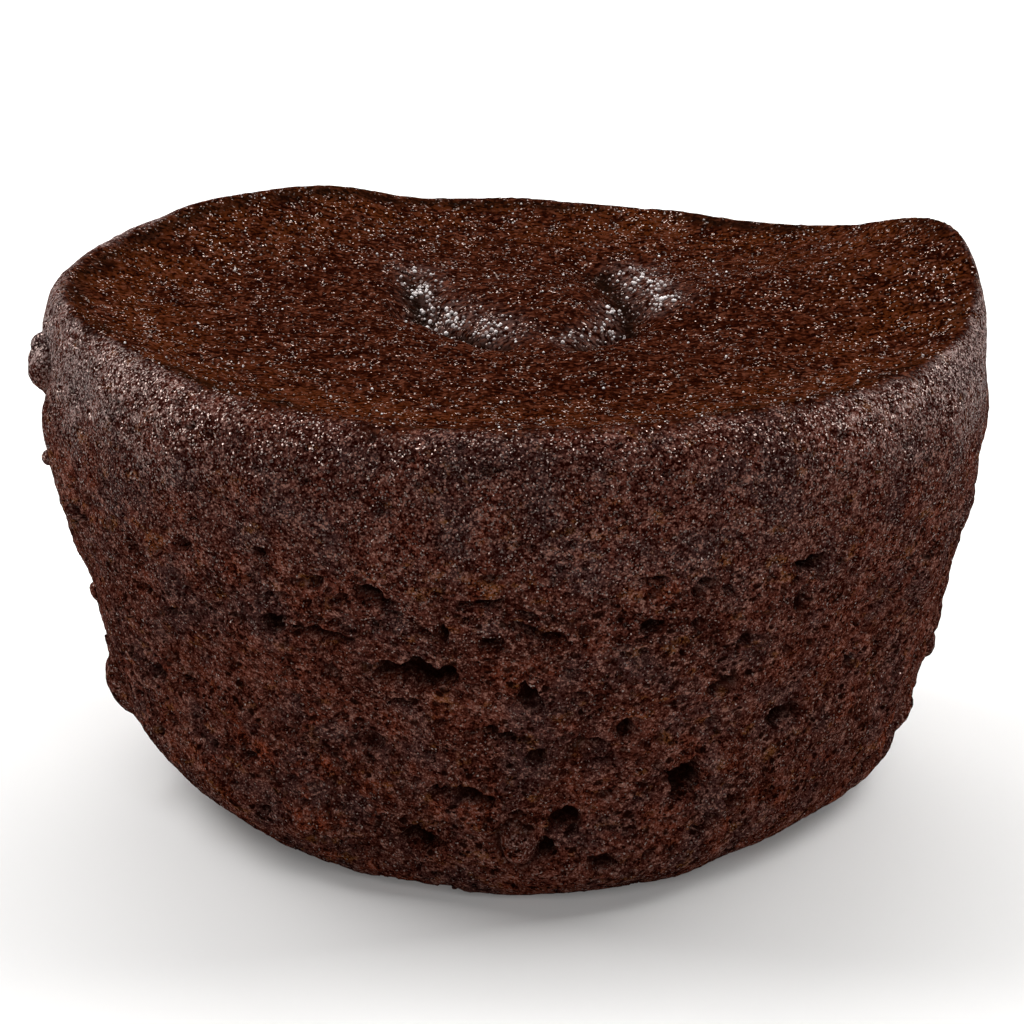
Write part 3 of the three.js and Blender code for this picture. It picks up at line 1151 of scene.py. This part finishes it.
        # Painted shade darkens the creases and the line behind the front lip, and keeps facets out of them.
        crease_shade = graph.mask("crease_shade")
        skin = graph.mix(crease_shade, graph.mix(sheen, skin, self.sheen), self.crease_shade)
        cluster = graph.grain(0.9, 2, 0.6, graph.moved((0.91, 0.87, 0.83))).rising(0.42, 0.62)
        more = cluster * 0.05 - 0.035
        return self._glinting(grains, skin, self.crust_facet, self.crust_roughness, more, 1.0 - crease_shade)

    @staticmethod
    def _three_tones(graph: Graph, tone: Value, tints: tuple[Tint, Tint, Tint]) -> Socket:
        """Runs from a shadow through a middle colour to a light one as the tone rises."""
        shadow, middle, light = tints
        return graph.mix(tone.rising(0.45, 1.0), graph.mix(tone.rising(-0.05, 0.5), shadow, middle), light)

    def _glinting(
        self, grains: Grains, skin: Socket, facet: Colour, roughness: float, more: Value, bare: Value
    ) -> Socket:
        """Adds a shader with tiny tilted facets that glint.

        Args:
            grains: The nodes that crumb and crust share.
            skin: The colour between the facets.
            facet: The facets' colour.
            roughness: How rough the skin is between them.
            more: The share of the flakes that are facets beyond the least one.
            bare: Where facets may be, from 0 to 1.

        Returns:
            The shader's socket.
        """
        graph = grains.graph
        flake = grains.flakes.outputs["Color"]
        fleck = ((graph.split(flake, 2) - self.facet_rarity + more) * self.facet_sharpness).clamped() * bare
        polish = graph.split(flake, 1) * self.facet_spread + self.facet_smoothest
        sockets = {
            "Base Color": graph.mix(fleck, skin, facet),
            "Roughness": (polish - roughness) * fleck + roughness,
            "Metallic": fleck,
            "Normal": graph.facets(grains.normal, flake, fleck * self.facet_tilt),
            "IOR": 1.45,
            "Specular IOR Level": 0.0,
        }
        return graph.shader(sockets)

    def _pit_shade(self, graph: Graph) -> Value:
        """Paints the shade of pores too small to carve, as dark dots: fine ones all over the wall, larger
        ones where it is open.

        Args:
            graph: The material's nodes.

        Returns:
            The painted shade of the pores, from 0 outside to 1 inside.
        """
        opened = graph.mask("open")
        place = graph.warped(0.5, 0.16, graph.moved((0.51, 0.47, 0.43), (1, 1, 1.35)))
        patchy = graph.grain(1.6, 1, 0.6, graph.moved((0.57, 0.53, 0.59))).rising(0.38, 0.6)
        small = graph.hollows(self.small_pore_size, self.small_pore_reach, place)
        small = small * (0.55 + opened * 0.45) * (0.55 + patchy * 0.45)
        large = graph.hollows(self.large_pore_size, self.large_pore_reach, place)
        return graph.maths("MAXIMUM", small, large * opened * (0.55 + patchy * 0.45))

    def _wall_colour(self, graph: Graph) -> Socket:
        """Mixes the wall's browns, with plum, ochre and rusty patches.

        Args:
            graph: The material's nodes.

        Returns:
            The colour.
        """
        fringe = graph.mask("fringe")
        colour = graph.mix(graph.grain(5.0, 3, 0.6).rising(0.35, 0.65), self.wall_dark, self.wall_brown)
        plum = graph.grain(2.6, 2, 0.5, graph.moved((0.11, 0.07, 0.05))).rising(0.45, 0.65) * 0.75
        colour = graph.mix((plum + graph.mask("upper_wall") * 0.3).clamped(), colour, self.plum)
        ochre = graph.grain(1.3, 3, 0.6, graph.moved((0.21, 0.17, 0.13), (1, 1, 1.6))) + fringe * 0.06
        colour = graph.mix(ochre.rising(0.58, 0.74) * 0.55, colour, self.ochre)
        rust = graph.grain(1.9, 4, 0.65, graph.moved((0.31, 0.27, 0.23))) + fringe * 0.07
        return graph.mix(rust.rising(0.5, 0.7) * (0.3 + graph.mask("torn") * 0.6), colour, self.rust)


@dataclass(frozen=True)
class Glaze:
    """The finish of the crust's blisters: from the crust's own brown to a painted near-white glint, and
    shiny.
    """

    name: str = "blister_glaze"
    brown: Colour = srgb(80, 42, 28)
    pale: Colour = srgb(248, 240, 238)
    roughness: float = 0.25
    specular: float = 0.6

    def material(self) -> bpy.types.Material:
        """Builds the material.

        Returns:
            The material.
        """
        graph = Graph(self.name)
        colour = graph.mix(graph.mask("bloom"), self.brown, self.pale)
        sockets = {"IOR": 1.5, "Specular IOR Level": self.specular, "Roughness": self.roughness}
        return graph.finish(graph.shader({**sockets, "Base Color": colour}))


@dataclass
class Carving:
    """The finely carved skin: its places in millimetres, its normals and its masks."""

    places: Array
    normals: Array
    masks: dict[str, Array]


@dataclass
class Brownie:
    """The whole brownie as one closed skin."""

    form: BrownieForm
    relief: CrumbRelief
    finish: BakedCrumb
    subdivisions: int = 8
    triangles: int = 196000
    least_height: float = 0.002

    def build(self) -> tuple[bpy.types.Object, Carving]:
        """Builds, carves and dresses the brownie.

        Returns:
            The finished piece, and the carving that finer things stand on.
        """
        piece = self._cube()
        mesh = piece.data
        surface = Surface.from_cube(self._rows(mesh.vertices, "co"), self.form)
        self._set_places(mesh, surface.points)
        relief, masks = self.relief.carve(surface, self.form)
        carved = surface.points + self._rows(mesh.vertex_normals, "vector") * relief[:, None]
        carved[:, 2] = np.maximum(carved[:, 2], np.where(surface.skin[Skin.FOOT], 0, self.least_height))
        carved -= np.array([*self.form.middle, 0.0])
        self._set_places(mesh, carved * METRES)
        carving = Carving(carved, self._rows(mesh.vertex_normals, "vector"), masks)
        for name, values in masks.items():
            layer = mesh.attributes.new(name, "FLOAT", "POINT")
            layer.data.foreach_set("value", values.astype(np.float32))
        thin = piece.modifiers.new("thin", "DECIMATE")
        thin.ratio = self.triangles / (2 * len(mesh.polygons))
        settle(piece)
        thinned = self._rows(piece.data.vertices, "co")
        self._set_places(piece.data, np.maximum(thinned, (-math.inf, -math.inf, 0)))
        piece.data.shade_smooth()
        piece.data.materials.append(self.finish.material())
        return piece, carving

    def _cube(self) -> bpy.types.Object:
        """Makes a finely divided cube of side 2.

        Returns:
            The cube.
        """
        shape = bmesh.new()
        bmesh.ops.create_cube(shape, size=2.0)
        piece = placed("brownie_skin", meshed("brownie_skin", shape))
        divide = piece.modifiers.new("divide", "SUBSURF")
        divide.subdivision_type = "SIMPLE"
        divide.levels = self.subdivisions
        divide.render_levels = self.subdivisions
        settle(piece)
        return piece

    @staticmethod
    def _set_places(mesh: bpy.types.Mesh, points: Array) -> None:
        """Puts a mesh's vertices at these places."""
        mesh.vertices.foreach_set("co", points.astype(np.float32).ravel())
        mesh.update()

    @staticmethod
    def _rows(items: bpy.types.bpy_prop_collection, name: str) -> Array:
        """Reads one vector of every vertex, such as its place.

        Args:
            items: The vertices, or their normals.
            name: The vector's name.

        Returns:
            The vectors, one row each.
        """
        values = np.empty(len(items) * 3)
        items.foreach_get(name, values)
        return values.reshape(-1, 3)


@dataclass
class Blisters:
    """Tiny shiny blisters on the crust, which crowd together in its creases."""

    finish: Glaze
    share: float = 0.04
    crowded_share: float = 0.4
    smallest: float = 0.03
    largest: float = 0.075
    crowded_growth: float = 1.0
    behind_share: float = 0.03
    behind_from: float = 0.0
    behind_to: float = 12.0
    standing: float = 0.2
    jitter: float = 0.09
    bloom_rarity: float = 4.5
    crowded_bloom: float = 3.9
    patches: Swell = Swell(1.3, 1.0, 83)

    def build(self, carving: Carving) -> bpy.types.Object:
        """Sets the blisters on the crust.

        Args:
            carving: The carved skin.

        Returns:
            The finished piece.
        """
        cells = (np.arange(len(carving.places)),)
        glint_crowd = carving.masks["glint_crowd"]
        patchy = smoothstep(-0.4, 0.5, self.patches.at(carving.places))
        behind = smoothstep(self.behind_from, self.behind_to, carving.places[:, 1])
        share = (self.share + self.behind_share * behind) * patchy + self.crowded_share * glint_crowd**2
        chosen = np.flatnonzero(carving.masks["bubbly"] * share > Hash.unit(cells, 89))
        size = self.smallest + (self.largest - self.smallest) * Hash.unit((chosen,), 97) ** 2
        size *= 1 + self.crowded_growth * glint_crowd[chosen]
        centres = carving.places[chosen] + carving.normals[chosen] * (self.standing * size)[:, None]
        for axis, seed in enumerate((131, 137)):
            centres[:, axis] += self.jitter * (2 * Hash.unit((chosen,), seed) - 1)
        ball, faces = self._ball()
        points = (centres[:, None, :] + ball * size[:, None, None]).reshape(-1, 3) * METRES
        corners = faces + np.arange(len(chosen))[:, None, None] * len(ball)
        mesh = bpy.data.meshes.new("crust_blisters")
        mesh.from_pydata(points.tolist(), [], corners.reshape(-1, 3).tolist())
        mesh.shade_smooth()
        # Painted glints: a few blisters are near-white, more of them in the creases.
        bloom = Hash.unit((chosen,), 103) ** (self.bloom_rarity - self.crowded_bloom * glint_crowd[chosen])
        layer = mesh.attributes.new("bloom", "FLOAT", "POINT")
        layer.data.foreach_set("value", np.repeat(bloom, len(ball)).astype(np.float32))
        mesh.materials.append(self.finish.material())
        return placed("crust_blisters", mesh)

    @staticmethod
    def _ball() -> tuple[Array, Array]:
        """Makes a ball of few faces, of radius 1.

        Returns:
            Its vertices and its faces' corners, one row each.
        """
        shape = bmesh.new()
        bmesh.ops.create_icosphere(shape, subdivisions=1, radius=1.0)
        points = np.array([corner.co[:] for corner in shape.verts])
        faces = np.array([[corner.index for corner in face.verts] for face in shape.faces])
        shape.free()
        return points, faces


def placed(name: str, data: bpy.types.ID) -> bpy.types.Object:
    """Puts a mesh, a light or a camera in the scene.

    Args:
        name: The object's name.
        data: The mesh, light or camera.

    Returns:
        The object.
    """
    holder = bpy.data.objects.new(name, data)
    bpy.context.scene.collection.objects.link(holder)
    return holder


def meshed(name: str, shape: bmesh.types.BMesh) -> bpy.types.Mesh:
    """Turns a shape into a mesh and frees it.

    Args:
        name: The mesh's name.
        shape: The shape.

    Returns:
        The mesh.
    """
    mesh = bpy.data.meshes.new(name)
    shape.to_mesh(mesh)
    shape.free()
    return mesh


def settle(piece: bpy.types.Object) -> None:
    """Applies a piece's modifiers, so that its mesh is the shape that shows.

    Args:
        piece: The piece.
    """
    graph = bpy.context.evaluated_depsgraph_get()
    old = piece.data
    name = old.name
    piece_mesh = bpy.data.meshes.new_from_object(piece.evaluated_get(graph), depsgraph=graph)
    piece.modifiers.clear()
    piece.data = piece_mesh
    bpy.data.meshes.remove(old)
    piece_mesh.name = name


@dataclass(frozen=True)
class Softbox:
    """A rectangular studio light that faces the brownie."""

    name: str
    place: Triple
    wide: float
    tall: float
    watts: float


@dataclass
class Studio:
    """The plain pale floor, the soft lights and the camera."""

    target: Triple = (0.00003, -0.00012, 0.013)
    distance: float = 0.178
    elevation: float = math.radians(17.5)
    lens: float = 127.97
    sensor: float = 36.0
    floor_size: float = 3.0
    floor_colour: Colour = srgb(222, 221, 220)
    floor_glow: float = 0.14
    floor_roughness: float = 0.8
    sky_colour: Colour = srgb(240, 240, 240)
    sky_strength: float = 0.12
    lights: tuple[Softbox, ...] = (
        Softbox("light_above_behind", (0.0, 0.16, 0.38), 0.26, 0.18, 0.5),
        Softbox("light_left", (-0.28, 0.13, 0.32), 0.26, 0.26, 1.9),
        Softbox("light_right", (0.28, 0.13, 0.32), 0.26, 0.26, 1.6),
        Softbox("light_front", (0.06, -0.42, 0.26), 0.30, 0.24, 0.64),
        Softbox("light_backdrop", (0.0, 0.50, 0.36), 0.50, 0.20, 1.2),
    )

    def build(self) -> None:
        """Sets up the floor, the sky, the lights and the camera."""
        self._floor()
        self._sky()
        for light in self.lights:
            self._softbox(light)
        self._camera()
        bpy.context.scene.view_settings.view_transform = "Standard"

    def _floor(self) -> None:
        """Lays the pale floor."""
        shape = bmesh.new()
        bmesh.ops.create_grid(shape, x_segments=1, y_segments=1, size=self.floor_size / 2)
        floor = placed("floor", meshed("floor", shape))
        graph = Graph("floor_paint")
        sockets = {
            "Base Color": self.floor_colour,
            "Roughness": self.floor_roughness,
            "Emission Color": self.floor_colour,
            "Emission Strength": self.floor_glow,
        }
        floor.data.materials.append(graph.finish(graph.shader(sockets)))

    def _sky(self) -> None:
        """Fills the room with even light."""
        world = bpy.data.worlds.new("studio")
        world.use_nodes = True
        background = world.node_tree.nodes["Background"]
        background.inputs["Color"].default_value = self.sky_colour
        background.inputs["Strength"].default_value = self.sky_strength
        bpy.context.scene.world = world

    def _softbox(self, light: Softbox) -> None:
        """Hangs one soft light.

        Args:
            light: The light's size, place and strength.
        """
        data = bpy.data.lights.new(light.name, "AREA")
        data.shape = "RECTANGLE"
        data.size = light.wide
        data.size_y = light.tall
        data.energy = light.watts
        holder = placed(light.name, data)
        holder.location = light.place
        aim = Vector(self.target) - holder.location
        holder.rotation_euler = aim.to_track_quat("-Z", "Y").to_euler()

    def _camera(self) -> None:
        """Sets the camera where the photograph was taken from."""
        data = bpy.data.cameras.new("camera")
        data.lens = self.lens
        data.sensor_width = self.sensor
        data.clip_start = 0.01
        camera = placed("camera", data)
        back = Vector((0, -math.cos(self.elevation), math.sin(self.elevation)))
        camera.location = Vector(self.target) + back * self.distance
        camera.rotation_euler = (-back).to_track_quat("-Z", "Y").to_euler()
        bpy.context.scene.camera = camera


def main() -> None:
    """Builds the brownie and its studio, and reports each piece."""
    logging.basicConfig(level=logging.INFO, format="%(name)s: %(message)s")
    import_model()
    Studio().build()
    brownie, carving = Brownie(BrownieForm(), CrumbRelief(), BakedCrumb()).build()
    blisters = Blisters(Glaze()).build(carving)
    for piece in (brownie, blisters):
        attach(piece, BODY)
        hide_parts(NODE)
        LOG.info("%s: %d faces", piece.name, len(piece.data.polygons))


if __name__ == "__main__":
    main()
